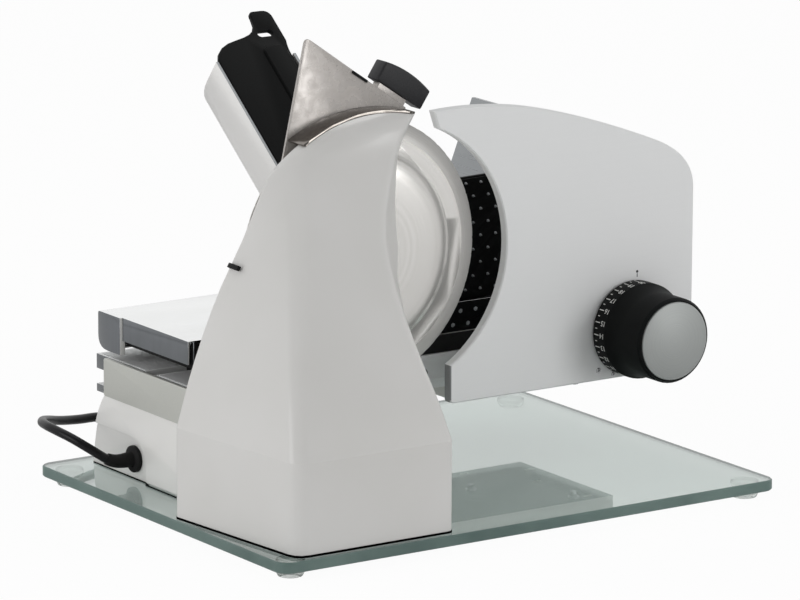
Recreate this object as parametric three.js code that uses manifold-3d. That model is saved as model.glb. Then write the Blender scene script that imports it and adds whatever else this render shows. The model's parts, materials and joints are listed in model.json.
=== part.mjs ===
// An electric food slicer on a glass base: a painted motor tower with a round blade,
// a sliding carriage with a feed chute, and a stop plate set by a numbered knob.
// Millimetres. X runs along the blade towards the operator, Y from the knob side to
// the carriage side, and Z up from the top of the glass. At the end the whole part
// is moved so that the middle of its underside is the origin.
import * as THREE from 'three';
import { mergeVertices } from 'three/addons/utils/BufferGeometryUtils.js';
import Module from 'manifold-3d';

const wasm = await Module();
wasm.setup();

const GAP = 0.3; // between pieces that touch
const RUN = 0.6; // between pieces that slide
const FAR = 400; // beyond every side of the machine

const GLASS = { x0: -15, x1: 357, y0: -7, y1: 281, thick: 7, corner: 9, bevel: 0.8 };
const FOOT = { radius: 9, height: 5, inset: 15 };

const BLADE = { x: 127.5, z: 149, radius: 86, cutY: 127, thick: 3, bevel: 10, dish: 66 };
const TEETH = { count: 54, radius: 9, depth: 0.3 }; // scallops ground into the blade's rim
const BLADE_DOME = 4.8; // height of the blade's domed middle
const SHAFT_RADIUS = 3.2;
const CROWN = { aside: 4.5, drop: 20, clear: 3.5, low: 195 }; // the tower's round top
const GUARD = { thick: 1.6, from: 75, to: 120, nearY: 60, farY: 128.6 };
const COVER = { rim: 13, thick: 1.6 };
const GRIP = { x: 159, y0: 129, y1: 141, z: 245.5, lean: 34, half: 20, height: 13, arch: 5 };

const SETTING = 20; // slice thickness that the stop plate stands at
const PLATE = {
  thick: 7,
  bottom: 50.5,
  right: 367.5,
  above: 3.8,
  corner: 38.5,
  bevel: 0.8,
  pinGap: 2,
  foot: 3, // round of the two lower corners
};
const PLATE_ARC = { aside: 9, less: 0.8, from: 67, to: -60 };
const KNOB = { x: 319, z: 82.5, back: 31, front: 28, length: 46, cap: 25.2 };
const SPINDLE = { radius: 3, end: 136 };
const NUT_HEAD = 5.2; // height of the spindle nut over the spindle's axis
const ROD = { radius: 3.5, z: 66, x: [212, 288], end: 143 };
const BUSH_RADIUS = 5;

const TOWER = { back: 118, crease: 58, hollowTop: 206, wall: 2.6, top: 240 };
// Each edge of the tower: height, X, Y.
const FRONT_LEFT = [
  [58, -2, -3],
  [98, 10, 17],
  [136, 27, 43],
  [175, 47, 74],
  [214, 68, 106],
  [240, 82, 113],
];
const FRONT_RIGHT = [
  [58, 112, -3],
  [80, 109, 7],
  [110, 104.6, 25],
  [143, 103.2, 48],
  [175, 111.4, 74],
  [200, 130, 95],
  [218, 144.8, 108],
  [240, 160, 113],
];
const BACK_RIGHT = [
  [58, 112, 118],
  [98, 120, 118],
  [125, 131, 118],
  [150, 144, 118],
  [180, 146, 118],
  [215, 152, 118],
  [240, 167, 118],
];
const BACK_LEFT = [
  [58, -13, 118],
  [93, -2, 118],
  [140, 18, 118],
  [170, 35, 118],
  [203, 51, 118],
  [240, 74, 118],
];
const RIGHT_SWELL = 7; // how far the hidden right side swells round the blade shaft
const CORNER_RADII = [9, 5, 24, 3, 3];
const CORNER_STEPS = 3;

const MOTOR = { x: 58, z: 70, radius: 30, y0: 34, y1: 88, capY: 92 };
const PULLEY = { radius: 4.8, y0: 104, y1: 111, groove: 0.8 };
const BELT = { thick: 1, y0: 104.8, y1: 110.2 };
const BACK_PLATE = { y0: 114, y1: 117.7, boss: 6.4, bossY: 111.6 };
const SHAFT_BOSS = { radius: 6.4, y0: 80, y1: 103 };
const SWITCH = { y: 60, z: 32, bore: 8.5, body: 11, flange: 13, button: 8 };

const RAIL = { x0: 10, x1: 334, near: 130, web: 138, far: 248.5, z0: 51.3, z1: 75.7, lip: 59 };
const CHANNEL = { depth: 12.5, upper: 9.5, lower: 5 }; // a groove along the rail's far side
const SLOT = { y: 184, neck: 12, lip: 6, z0: 58, z1: 66 };
const RAIL_PLATE = 3;
const WIPER = { x0: 12, x1: 305, inset: 0.8, thick: 2.6 }; // rubber strip under the apron
const TRAY = { x0: 209, x1: 336.5, y0: 141, y1: 246, z0: 40.3, wall: 2 };
const TRAY_SLOT = { half: 3, wide: 3, at: [[330, 225], [316, 197], [322, 148], [287, 239]] };
const HOUSING = { x0: 14, x1: 165, y1: 265, y1Top: 246, recess: 3, bevel: 2, wall: 4 };
const RECESS = { round: 17, over: 14.5 }; // the sunk field round the cord gland
const GLAND = { y: 213.5, z: 13.5, flange: 8.6, rim: 3.4, body: 5, taper: 1.2 };

const DECK = {
  x0: 7,
  x1: 252,
  far: 238.5,
  top: 106,
  sheet: 2,
  skirt: 91,
  curl: 9,
  corner: 212,
  proud: 1.8,
};
const FRAME = {
  x0: 40,
  beyond: 3.25,
  near: 160,
  far: 208,
  z0: 77.3,
  apron: 131.4,
  thick: 3,
  lip: 88.3,
};
const RUNNER = { x0: 40, x1: 190 };
const WALL = { foot: 250, lean: 42, top: 212.5, near: 141, thick: 2.4 };

const CHUTE = { x: 95, y: 241.1, z: 255.1, slope: 38.1, width: 60, side: 18, wall: 2 };
const CHUTE_MOUTH = 132.5; // Y of the chute's open lower end
const PUSHER = { low: -132, headLength: 20, plate: 3.4, tabEnd: 38.7, ribHeight: 1.6 };
const HOLDER = {
  near: 135,
  face: 1.2,
  thick: 3,
  left: 184,
  top: 187,
  wallGap: 1.5,
  spike: 2.4,
  rows: 9,
  columns: 5,
  edge: 7,
  pitch: 11.5,
  rise: 8.6,
  handle: { x0: 212, x1: 232, height: 44, reach: 48 },
};

const STOP_PIN = { radius: 4.4, bladeGap: 6.5, length: 8.7 };

const CORD = { diameter: 6, floor: -(GLASS.thick + GAP + FOOT.height) };
const COIL = { x: 250, y: 331, radius: 40, pitch: 7, layer: 6.8, turns: 2 };
// The cord's way from the gland's flange to the coil; the sleeve holds the first of its bends.
const LEAD = [
  [HOUSING.x0 + HOUSING.recess - GAP - GLAND.rim, GLAND.y, GLAND.z],
  [4.1, GLAND.y, GLAND.z + 0.1],
  [-3.9, GLAND.y + 0.2, GLAND.z + 2.6],
  [-14, 217.1, 23.1],
  [-21.5, 226.3, 29],
  [-25.3, 238.9, 32],
  [-24.8, 252.5, 32.6],
  [-18, 269.3, 30.7],
  [-5.8, 282.4, 27.1],
  [9.6, 291.8, 22.8],
  [26.6, 298.3, 19.9],
  [44.6, 302.6, 18.2],
  [62.7, 304.6, 14.7],
  [80.6, 304.7, 10.1],
  [98.5, 303.5, 5.2],
  [116.4, 301.6, 0.7],
  [134.4, 299.1, -3.3],
  [152.6, 296.6, -6.5],
  [170.9, 294.2, -8.5],
];
const SLEEVE_BENDS = 2; // stretches of that way inside the sleeve
const PLUG = { radius: 18, length: 34, pin: 2.4, pinLength: 19, pinPitch: 19 };

const plateFar = BLADE.cutY - SETTING;
const plateNear = plateFar - PLATE.thick;
const [crownX, crownZ] = [BLADE.x + CROWN.aside, BLADE.z - CROWN.drop];
const crownRadius = BLADE.radius + Math.hypot(CROWN.aside, CROWN.drop) + CROWN.clear;
const pinX =
  BLADE.x +
  Math.sqrt((BLADE.radius + STOP_PIN.bladeGap) ** 2 - (BLADE.z - ROD.z) ** 2) +
  STOP_PIN.radius;
const plateLeft = pinX + STOP_PIN.radius + PLATE.pinGap;
const [neck0, neck1] = [SLOT.y - SLOT.neck / 2, SLOT.y + SLOT.neck / 2];
const [wide0, wide1] = [neck0 - SLOT.lip, neck1 + SLOT.lip];
const apronLow = KNOB.z + NUT_HEAD + RUN;
const lastSpike = HOLDER.left + HOLDER.edge + HOLDER.pitch * (HOLDER.columns - 0.5);
const line = CORD.floor + CORD.diameter / 2;
const coilStart = COIL.x - 20;
const leadEnd = [-28, -16, -8, 0].map((x) => [coilStart - GAP + x, COIL.y - COIL.radius, line]);
const leadPoints = [...LEAD, ...leadEnd].map((p) => new THREE.Vector3(...p));
const lead = new THREE.CatmullRomCurve3(leadPoints, false, 'centripetal');
const sleeveEnd = SLEEVE_BENDS / (leadPoints.length - 1);
const deg = THREE.MathUtils.degToRad;

// Solids

function facingOut(geometry) {
  const flat = geometry.index ? geometry.toNonIndexed() : geometry;
  const p = flat.getAttribute('position');
  const [a, b, c] = [new THREE.Vector3(), new THREE.Vector3(), new THREE.Vector3()];
  let volume = 0;
  for (let i = 0; i < p.count; i += 3) {
    a.fromBufferAttribute(p, i);
    b.fromBufferAttribute(p, i + 1);
    c.fromBufferAttribute(p, i + 2);
    volume += a.dot(b.cross(c));
  }
  const bare = new THREE.BufferGeometry().setAttribute('position', p);
  const merged = mergeVertices(bare, 1e-3);
  const kept = [];
  const all = merged.index.array;
  for (let i = 0; i < all.length; i += 3) {
    const [u, v, w] = [all[i], all[i + 1], all[i + 2]];
    if (u !== v && v !== w && w !== u) kept.push(...(volume < 0 ? [u, w, v] : [u, v, w]));
  }
  merged.setIndex(kept);
  return merged;
}

function solidOf(geometry) {
  const shell = facingOut(geometry);
  const vertProperties = shell.attributes.position.array;
  const triVerts = new Uint32Array(shell.index.array);
  return new wasm.Manifold(new wasm.Mesh({ numProp: 3, vertProperties, triVerts }));
}

function geometryOf(solid) {
  const made = solid.getMesh();
  const geometry = new THREE.BufferGeometry();
  geometry.setAttribute('position', new THREE.BufferAttribute(made.vertProperties, 3));
  geometry.setIndex(new THREE.BufferAttribute(made.triVerts, 1));
  return geometry;
}

const join = (first, ...rest) =>
  geometryOf(rest.reduce((all, next) => all.add(solidOf(next)), solidOf(first)));
const cut = (first, ...tools) =>
  geometryOf(tools.reduce((left, tool) => left.subtract(solidOf(tool)), solidOf(first)));
const common = (first, second) => geometryOf(solidOf(first).intersect(solidOf(second)));

function box(x0, x1, y0, y1, z0, z1) {
  const block = new THREE.BoxGeometry(x1 - x0, y1 - y0, z1 - z0);
  return block.translate((x0 + x1) / 2, (y0 + y1) / 2, (z0 + z1) / 2);
}

// A flat outline given a thickness along local Z, with its edges eased if bevel is set.
function sheet(shape, z0, z1, bevel = 0, curveSegments = 12) {
  const eased = { bevelThickness: bevel, bevelSize: bevel, bevelOffset: -bevel, bevelSegments: 1 };
  const depth = z1 - z0 - 2 * bevel;
  const options = { depth, curveSegments, bevelEnabled: bevel > 0, ...eased };
  return new THREE.ExtrudeGeometry(shape, options).translate(0, 0, z0 + bevel);
}

// An outline drawn in X and Z, run along Y.
function slab(shape, y0, y1, bevel = 0, curveSegments = 12) {
  return sheet(shape, -y1, -y0, bevel, curveSegments).rotateX(Math.PI / 2);
}

// An outline drawn in Y and Z, run along X.
function prism(shape, x0, x1, bevel = 0, curveSegments = 12) {
  const turn = new THREE.Matrix4().set(0, 0, 1, 0, 1, 0, 0, 0, 0, 1, 0, 0, 0, 0, 0, 1);
  return sheet(shape, x0, x1, bevel, curveSegments).applyMatrix4(turn);
}

function polygon(...points) {
  return new THREE.Shape(points.map(([x, y]) => new THREE.Vector2(x, y)));
}

function roundedRect(x0, x1, y0, y1, radius) {
  const shape = new THREE.Shape();
  shape.absarc(x1 - radius, y0 + radius, radius, -Math.PI / 2, 0);
  shape.absarc(x1 - radius, y1 - radius, radius, 0, Math.PI / 2);
  shape.absarc(x0 + radius, y1 - radius, radius, Math.PI / 2, Math.PI);
  shape.absarc(x0 + radius, y0 + radius, radius, Math.PI, 1.5 * Math.PI);
  return shape;
}

// A turned piece: radius and place along the axis, given along the profile.
function turned(profile, sides) {
  const points = profile.map(([radius, along]) => new THREE.Vector2(radius, along));
  return facingOut(new THREE.LatheGeometry(points, sides));
}

const turnedY = (profile, x, z, sides = 32) => turned(profile, sides).translate(x, 0, z);
const turnedX = (profile, y, z, sides = 32) =>
  turned(profile, sides).rotateZ(-Math.PI / 2).translate(0, y, z);
const turnedZ = (profile, x, y, sides = 32) =>
  turned(profile, sides).rotateX(Math.PI / 2).translate(x, y, 0);

function rodY(radius, x, z, y0, y1, sides = 24) {
  return turnedY([[0, y0], [radius, y0], [radius, y1], [0, y1]], x, z, sides);
}

function sleeveY(inner, outer, x, z, y0, y1, sides = 24) {
  const profile = [[inner, y0], [outer, y0], [outer, y1], [inner, y1], [inner, y0]];
  return turnedY(profile, x, z, sides);
}

function tube(points, diameter, sides, steps) {
  const section = new THREE.Shape();
  section.absarc(0, 0, diameter / 2, 0, 2 * Math.PI);
  const options = { curveSegments: sides / 2, steps };
  options.extrudePath = new THREE.CatmullRomCurve3(points, false, 'centripetal');
  return facingOut(new THREE.ExtrudeGeometry(section, options));
}

const fromLeft = (p) => new THREE.Vector2(-p.y, p.z);
const fromAbove = (p) => new THREE.Vector2(p.x, p.y);

// Closed rings of points, skinned and capped; flatten shows the way they are seen end on.
function loft(rings, flatten) {
  const count = rings[0].length;
  const index = [];
  for (let level = 0; level + 1 < rings.length; level++) {
    for (let i = 0; i < count; i++) {
      const j = (i + 1) % count;
      const [low, high] = [level * count, (level + 1) * count];
      index.push(low + i, low + j, high + j, low + i, high + j, high + i);
    }
  }
  const flat = [rings[0], rings.at(-1)].map((ring) => ring.map(flatten));
  const top = (rings.length - 1) * count;
  for (const [a, b, c] of THREE.ShapeUtils.triangulateShape(flat[0], [])) index.push(a, c, b);
  for (const [a, b, c] of THREE.ShapeUtils.triangulateShape(flat[1], [])) {
    index.push(top + a, top + b, top + c);
  }
  const geometry = new THREE.BufferGeometry().setFromPoints(rings.flat());
  geometry.setIndex(index);
  return geometry;
}

// The tower

function edgeAt(edge, z) {
  const heights = edge.map((row) => row[0]);
  const places = edge.flatMap((row) => [row[1], row[2]]);
  const curve = new THREE.CubicInterpolant(heights, places, 2, []);
  const [x, y] = curve.evaluate(Math.max(z, TOWER.crease));
  return new THREE.Vector2(x, y);
}

// The tower's outline at one height, drawn in by inset and with its back at backY.
function towerCorners(z, inset, backY) {
  const frontLeft = edgeAt(FRONT_LEFT, z).add(new THREE.Vector2(inset, inset));
  const frontRight = edgeAt(FRONT_RIGHT, z).add(new THREE.Vector2(-inset, inset));
  const backRight = edgeAt(BACK_RIGHT, z).setX(edgeAt(BACK_RIGHT, z).x - inset).setY(backY);
  const backLeft = edgeAt(BACK_LEFT, z).setX(edgeAt(BACK_LEFT, z).x + inset).setY(backY);
  const swell = RIGHT_SWELL * Math.max(0, Math.sin((Math.PI * (z - 90)) / 125)) * (z < 215 ? 1 : 0);
  const right = frontRight.clone().lerp(edgeAt(BACK_RIGHT, z).sub({ x: inset, y: 0 }), 0.66);
  right.x += swell;
  return [frontLeft, frontRight, right, backRight, backLeft];
}

function roundedRing(corners, z) {
  const ring = [];
  corners.forEach((corner, i) => {
    const before = corners.at(i - 1);
    const after = corners[(i + 1) % corners.length];
    const room = 0.4 * Math.min(corner.distanceTo(before), corner.distanceTo(after));
    const reach = Math.min(CORNER_RADII[i], room);
    const start = before.clone().sub(corner).setLength(reach).add(corner);
    const end = after.clone().sub(corner).setLength(reach).add(corner);
    const bend = new THREE.QuadraticBezierCurve(start, corner, end).getPoints(CORNER_STEPS);
    ring.push(...bend.map((p) => new THREE.Vector3(p.x, p.y, z)));
  });
  return ring;
}

function towerBody(inset, z0, z1, backY) {
  const levels = [z0, TOWER.crease];
  for (let z = TOWER.crease + 14; z < z1 - 6; z += 14) levels.push(z);
  levels.push(z1);
  const rings = levels.map((z) => roundedRing(towerCorners(z, inset, backY), z));
  return loft(rings, fromAbove);
}

const onBladeAxis = (radius, y0, y1, sides) => rodY(radius, BLADE.x, BLADE.z, y0, y1, sides);

function motorTower() {
  const reachBack = TOWER.back + 20;
  const above = box(-FAR, FAR, -FAR, reachBack, CROWN.low, FAR);
  const round = rodY(crownRadius, crownX, crownZ, -FAR, FAR, 120);
  const outer = cut(towerBody(0, GAP, TOWER.top, TOWER.back), cut(above, round));
  const hollow = towerBody(TOWER.wall, -20, TOWER.hollowTop, reachBack);
  const boss = common(onBladeAxis(SHAFT_BOSS.radius, SHAFT_BOSS.y0, SHAFT_BOSS.y1), outer);
  const bore = onBladeAxis(SHAFT_RADIUS + GAP, SHAFT_BOSS.y1 - 6, SHAFT_BOSS.y1 + 5);
  const switchHole = turnedX(
    [[0, 90], [SWITCH.body + GAP, 90], [SWITCH.body + GAP, 125], [0, 125]],
    SWITCH.y,
    SWITCH.z,
  );
  return cut(join(cut(outer, hollow), boss), bore, switchHole);
}

function towerBackPlate() {
  const opening = towerBody(TOWER.wall + GAP, -20, TOWER.hollowTop - GAP, TOWER.back + 20);
  const plate = common(box(-60, 220, BACK_PLATE.y0, BACK_PLATE.y1, GAP, TOWER.hollowTop), opening);
  const boss = onBladeAxis(BACK_PLATE.boss, BACK_PLATE.bossY, BACK_PLATE.y1);
  const bore = onBladeAxis(SHAFT_RADIUS + GAP, BACK_PLATE.bossY - 5, BACK_PLATE.y1 + 5);
  return cut(join(plate, boss), bore);
}

function bladeGuard() {
  const band = new THREE.Shape();
  const inner = crownRadius + GAP;
  band.absarc(crownX, crownZ, inner + GUARD.thick, deg(GUARD.from), deg(GUARD.to));
  band.absarc(crownX, crownZ, inner, deg(GUARD.to), deg(GUARD.from), true);
  const { nearY, farY } = GUARD;
  const ring = slab(band, nearY, farY, 0, 16);
  const body = towerBody(0, 0, TOWER.top + 20, TOWER.back);
  const onTower = common(body, box(-FAR, FAR, nearY, TOWER.back, crownZ, FAR));
  const behind = box(-FAR, FAR, TOWER.back - 4, farY + 1, crownZ, FAR);
  return common(ring, join(onTower, behind));
}

function sideBumper() {
  const z = 154.5;
  const slope = (edgeAt(BACK_LEFT, z + 5).x - edgeAt(BACK_LEFT, z - 5).x) / 10;
  const [back, front] = [edgeAt(BACK_LEFT, z), edgeAt(FRONT_LEFT, z)];
  const x = THREE.MathUtils.mapLinear(111, back.y, front.y, back.x, front.x);
  const pad = new THREE.Mesh(box(-2.6, -GAP, -5.5, 5.5, -1.5, 1.5), paint('#1c1d1e', 0.6, 0));
  pad.position.set(x - GAP, 111, z);
  pad.rotation.y = Math.atan(slope);
  pad.name = 'side_bumper';
  return pad;
}

// Drive and blade

function motorCan() {
  const r = MOTOR.radius;
  const { y0, y1 } = MOTOR;
  const profile = [[0, y0], [r - 5, y0], [r, y0 + 4], [r, y1], [0, y1]];
  return turnedY(profile, MOTOR.x, MOTOR.z, 32);
}

function motorEndCap() {
  const flange = rodY(MOTOR.radius, MOTOR.x, MOTOR.z, MOTOR.y1 + GAP, MOTOR.capY, 32);
  const reach = MOTOR.radius - 6;
  const post = (x, z) => rodY(4, x, z, MOTOR.capY - 1, BACK_PLATE.y0 - GAP, 16);
  const posts = [post(MOTOR.x - reach, MOTOR.z), post(MOTOR.x, MOTOR.z - reach)];
  const bore = rodY(SHAFT_RADIUS + GAP, MOTOR.x, MOTOR.z, MOTOR.y0, MOTOR.capY + 5);
  return cut(join(flange, ...posts), bore);
}

// A belt pulley with low cheeks, on a bare shaft end where reach is given.
function pulley(x, z, bore, reach) {
  const { radius, y0, y1, groove } = PULLEY;
  const rim = radius + groove;
  const outside = [[rim, y0], [radius, y0 + 0.7], [radius, y1 - 0.7], [rim, y1]];
  if (bore > 0) return turnedY([[bore, y0], ...outside, [bore, y1], [bore, y0]], x, z);
  const stub = [[0, reach], [SHAFT_RADIUS, reach], [SHAFT_RADIUS, y0]];
  return turnedY([...stub, ...outside, [0, y1]], x, z);
}

function driveBelt() {
  const [dx, dz] = [BLADE.x - MOTOR.x, BLADE.z - MOTOR.z];
  const lean = Math.atan2(dz, dx);
  const length = Math.hypot(dx, dz);
  const loop = (radius) => {
    const path = new THREE.Shape();
    path.absarc(length, 0, radius, -Math.PI / 2, Math.PI / 2);
    path.absarc(0, 0, radius, Math.PI / 2, 1.5 * Math.PI);
    return path;
  };
  const inside = PULLEY.radius + GAP;
  const outline = loop(inside + BELT.thick);
  outline.holes.push(loop(inside));
  return slab(outline, BELT.y0, BELT.y1, 0, 12).rotateY(-lean).translate(MOTOR.x, 0, MOTOR.z);
}

function blade() {
  const { cutY, radius, thick, bevel, dish } = BLADE;
  const near = cutY - thick;
  const profile = [
    [0, cutY - 1.8],
    [dish + 1, cutY - 1.8],
    [dish + 5, cutY],
    [radius, cutY],
    [radius, cutY - 0.4],
    [radius - bevel, near],
    [dish, near],
    [dish - 1.2, near - 0.9],
    [dish - 4, near - 2.4],
    [dish - 9, near - 3.7],
    [dish - 16, near - 4.4],
    [dish - 32, near - 4.7],
    [0, near - BLADE_DOME],
  ];
  const scallop = (i) => {
    const angle = (2 * Math.PI * i) / TEETH.count;
    const reach = radius + TEETH.radius - TEETH.depth;
    const [x, z] = [BLADE.x + reach * Math.cos(angle), BLADE.z + reach * Math.sin(angle)];
    return rodY(TEETH.radius, x, z, cutY - thick - 1, cutY + 1, 16);
  };
  const scallops = Array.from({ length: TEETH.count }, (_, i) => scallop(i));
  return cut(turnedY(profile, BLADE.x, BLADE.z, 96), ...scallops);
}

function bladeCover() {
  const open = Math.min(BLADE.radius - COVER.rim, BLADE.z - RAIL.z1 - RUN);
  const shape = new THREE.Shape();
  shape.moveTo(32, 84);
  shape.lineTo(60, 78);
  shape.absarc(BLADE.x, BLADE.z, open, deg(-120), deg(62));
  shape.lineTo(164, 237);
  shape.lineTo(94, 286);
  shape.quadraticCurveTo(90, 289, 88.5, 285);
  shape.lineTo(73, 215);
  shape.lineTo(60, 170);
  shape.lineTo(32, 118);
  const y0 = GUARD.farY + GAP;
  const post = (x, z) => rodY(4, x, z, TOWER.back + GAP, y0 + 0.5, 16);
  const lug = atGrip(box(-17, 7, y0 + 0.4, y0 + 7, -9, -GAP));
  return join(slab(shape, y0, y0 + COVER.thick), post(38, 108), post(52, 88), lug);
}

const atGrip = (geometry) => geometry.rotateY(deg(GRIP.lean)).translate(GRIP.x, 0, GRIP.z);

function coverGrip() {
  const { half, height, arch } = GRIP;
  const outline = new THREE.Shape();
  outline.moveTo(-half, 0);
  outline.lineTo(half, 0);
  outline.lineTo(half, height);
  outline.quadraticCurveTo(0, height + arch, -half, height);
  return atGrip(slab(outline, GRIP.y0, GRIP.y1, 0.8, 8));
}

// Stop plate and its setting knob

function stopPlate() {
  const { bottom, right, bevel, foot } = PLATE;
  const { aside, less, from, to } = PLATE_ARC;
  const shape = new THREE.Shape();
  shape.moveTo(plateLeft, bottom + foot);
  shape.quadraticCurveTo(plateLeft, bottom, plateLeft + foot, bottom);
  shape.lineTo(right - foot, bottom);
  shape.quadraticCurveTo(right, bottom, right, bottom + foot);
  const top = BLADE.z + BLADE.radius + PLATE.above;
  const corner = BLADE.x + PLATE.corner;
  shape.lineTo(right, top - 70.8);
  shape.bezierCurveTo(right, top - 51.8, right - 16, top - 41.8, right - 34, top - 34.8);
  shape.bezierCurveTo(right - 66, top - 21.8, right - 105.5, top - 8.8, right - 137.5, top - 3.1);
  shape.bezierCurveTo(right - 157.5, top + 0.2, corner + 22, top + 1.6, corner, top);
  const radius = BLADE.radius - less;
  shape.absarc(BLADE.x + aside, BLADE.z, radius, deg(from), deg(to), true);
  const hole = rodY(SPINDLE.radius + GAP, KNOB.x, KNOB.z, plateNear - 5, plateFar + 5);
  return cut(slab(shape, plateNear, plateFar, bevel, 20), hole);
}

function thicknessKnob() {
  const back = plateNear - RUN;
  const front = back - KNOB.length;
  const profile = [
    [0, back],
    [KNOB.back - 1, back],
    [KNOB.back, back - 1],
    [KNOB.back, back - 13],
    [KNOB.back - 1, back - 14],
    [KNOB.back - 3.4, back - 26],
    [KNOB.front - 0.4, front + 2],
    [KNOB.front - 2, front],
    [KNOB.cap + 0.5, front],
    [KNOB.cap + 0.5, front + 2],
    [0, front + 2],
  ];
  return cut(
    turnedY(profile, KNOB.x, KNOB.z, 48),
    rodY(SPINDLE.radius + GAP, KNOB.x, KNOB.z, back - 20, back + 5),
  );
}

function knobCap() {
  const seat = plateNear - RUN - KNOB.length + 2 - GAP;
  const [r, face] = [KNOB.cap, seat - 2.5];
  const profile = [[0, seat], [r, seat], [r, face + 0.5], [r - 0.8, face], [0, face]];
  return turnedY(profile, KNOB.x, KNOB.z, 48);
}

function spindleNut() {
  const [low, high] = [RAIL.z1 + GAP, KNOB.z + NUT_HEAD];
  const block = box(KNOB.x - 11, KNOB.x + 11, RAIL.near + GAP, RAIL.web, low, high);
  return cut(block, rodY(SPINDLE.radius + GAP, KNOB.x, KNOB.z, RAIL.near - 5, RAIL.web + 5));
}

// Rail, housing and base

function rail() {
  const { near, web, far, z0, z1, lip } = RAIL;
  const { depth, upper, lower } = CHANNEL;
  const groove = far - depth;
  const shape = polygon(
    [web, z0],
    [far, z0],
    [far, z0 + lower],
    [groove, z0 + lower],
    [groove, z1 - upper],
    [far, z1 - upper],
    [far, z1],
    [neck1, z1],
    [neck1, SLOT.z1],
    [wide1, SLOT.z1],
    [wide1, SLOT.z0],
    [wide0, SLOT.z0],
    [wide0, SLOT.z1],
    [neck0, SLOT.z1],
    [neck0, z1],
    [near, z1],
    [near, lip],
    [web, lip],
  );
  const chamber = (y0, y1, low, high) => polygon([y0, low], [y1, low], [y1, high], [y0, high]);
  shape.holes.push(chamber(web + 6, wide0 - 4, z0 + 4, z1 - 3));
  shape.holes.push(chamber(wide1 + 4, groove - 4, z0 + 5, z1 - 4));
  const holes = ROD.x.map((x) => rodY(BUSH_RADIUS + GAP, x, ROD.z, near - 5, web + 8));
  return cut(prism(shape, RAIL.x0, RAIL.x1), ...holes);
}

function railWiper() {
  const { x0, x1, inset, thick } = WIPER;
  const y0 = RAIL.near + inset;
  return prism(roundedRect(y0, y0 + thick, RAIL.z1 + GAP, apronLow - RUN, 0.6), x0, x1, 0, 2);
}

function railPlate(x0) {
  const { near, far, z0, z1 } = RAIL;
  const edge = far - CHANNEL.depth - 1;
  return prism(roundedRect(near, edge, z0, z1, 1.5), x0, x0 + RAIL_PLATE, 0.4, 2);
}

function guideTray() {
  const { x0, x1, y0, y1, z0, wall } = TRAY;
  const top = RAIL.z0 - GAP;
  const outer = box(x0, x1, y0, y1, z0, top);
  const inside = box(x0 + wall, x1 - wall, y0 + wall, y1 - wall, z0 + wall, top + 5);
  const { half, wide, at } = TRAY_SLOT;
  const slots = at.map(([x, y]) => box(x - half, x + half, y, y + wide, z0 - 5, z0 + 5));
  return cut(outer, inside, ...slots);
}

function baseHousing() {
  const { x0, x1, y1, y1Top, recess, bevel, wall } = HOUSING;
  const side = (inset, z0) => {
    const near = TOWER.back + GAP + inset;
    const top = RAIL.z0 - GAP - inset;
    const shape = new THREE.Shape();
    shape.moveTo(near, z0);
    shape.lineTo(y1 - inset, z0);
    shape.lineTo(y1 - inset, GAP);
    shape.quadraticCurveTo(y1 - 3 - inset, top - 16, y1Top - inset, top);
    shape.lineTo(near, top);
    return shape;
  };
  const { round, over } = RECESS;
  const arch = new THREE.Shape();
  arch.moveTo(y1 + 5, -5);
  arch.lineTo(y1 + 5, GLAND.z + over);
  arch.lineTo(GLAND.y, GLAND.z + over);
  arch.absarc(GLAND.y, GLAND.z + over - round, round, Math.PI / 2, Math.PI);
  arch.lineTo(GLAND.y - round, -5);
  const inside = prism(side(wall, -5), x0 + recess + wall, x1 - wall, 0, 6);
  return cut(prism(side(0, GAP), x0, x1, bevel, 6), inside, prism(arch, x0 - 5, x0 + recess, 0, 5));
}

// A flange with a tapered sleeve that bends with the cord.
function cordGland() {
  const seat = HOUSING.x0 + HOUSING.recess - GAP;
  const { flange, rim, body, taper } = GLAND;
  const face = seat - rim;
  const edge = [[0, seat], [flange, seat], [flange, seat - 2], [flange - 2, face], [0, face]];
  const rings = [];
  const steps = 6;
  for (let i = 0; i <= steps; i++) {
    const share = (sleeveEnd * i) / steps;
    const centre = lead.getPoint(share);
    const along = lead.getTangent(share);
    const side = new THREE.Vector3(0, 0, 1).cross(along).normalize();
    const up = along.clone().cross(side);
    const radius = body - (taper * i) / steps;
    const ring = [];
    for (let a = 0; a < 2 * Math.PI - 0.01; a += Math.PI / 8) {
      const out = side.clone().multiplyScalar(Math.cos(a)).addScaledVector(up, Math.sin(a));
      ring.push(centre.clone().addScaledVector(out, radius));
    }
    if (i === 0) rings.push(ring.map((p) => p.clone().setX(face + 1)));
    rings.push(ring);
  }
  return join(turnedX(edge, GLAND.y, GLAND.z, 24), loft(rings, fromLeft));
}

function foot(x, y) {
  const top = -(GLASS.thick + GAP);
  const [r, low] = [FOOT.radius, top - FOOT.height];
  const profile = [[0, top], [r, top], [r, top - 2], [r - 1.5, low], [0, low]];
  return turnedZ(profile, x, y, 24);
}

// Carriage

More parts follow.
